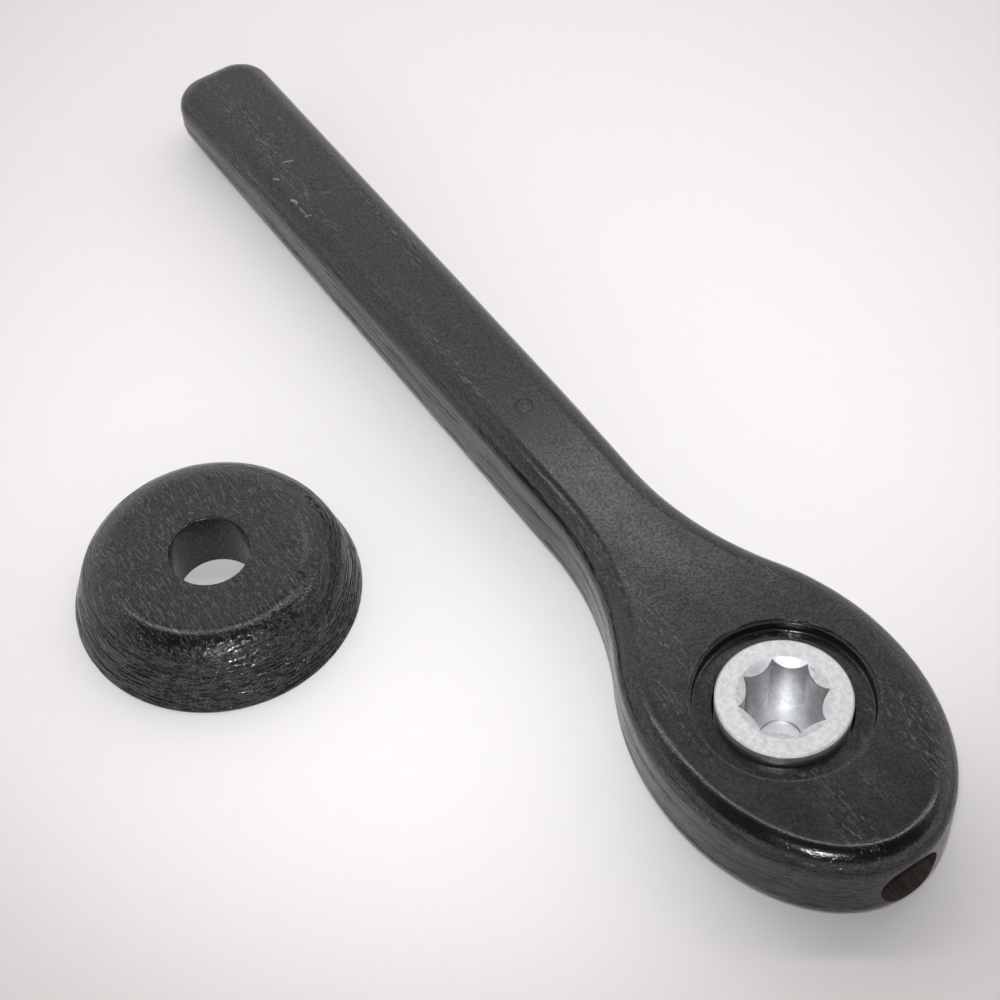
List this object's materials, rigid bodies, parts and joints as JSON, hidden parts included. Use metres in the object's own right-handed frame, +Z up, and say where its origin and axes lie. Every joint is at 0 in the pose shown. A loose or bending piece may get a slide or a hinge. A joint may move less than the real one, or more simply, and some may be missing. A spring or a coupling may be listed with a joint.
{
  "type": "string winder",
  "caption": "Black lacquered wooden winder lever with a star-socket aluminium insert and a clamp screw, and the loose conical wooden collar that goes under it.",
  "frame": {"origin": "on the plane that the pieces rest on, under the axis of the star socket", "axes": "+X along the lever to the tip of its grip, +Z up out of the socket's mouth, +Y to the side where the loose collar stands"},
  "size_m": [0.2242, 0.1072, 0.0188],
  "materials": {
    "lacquered_wood": "satin black lacquer over open-pored wood",
    "satin_aluminium": "satin, machined",
    "plated_steel": "zinc plated, slightly dull",
    "lacquered_filler": "satin black lacquer",
    "collar_wood": "gloss black lacquer over open-pored wood"
  },
  "bodies": {
    "lever": {"lever_body": "lacquered_wood", "socket_insert": "satin_aluminium", "filler_plug_1": "lacquered_filler", "filler_plug_2": "lacquered_filler"},
    "clamp_screw": {"clamp_screw": "plated_steel"},
    "collar": {"collar": "collar_wood"}
  },
  "joints": [
    {"name": "clamp_screw_travel", "type": "slide", "parent": "lever", "child": "clamp_screw", "axis": [1, 0, 0], "range_m": [-0.004, 0.0012]},
    {"name": "collar_lift", "type": "slide", "parent": "lever", "child": "collar", "axis": [0, 0, 1], "range_m": [0, 0.03]}
  ]
}
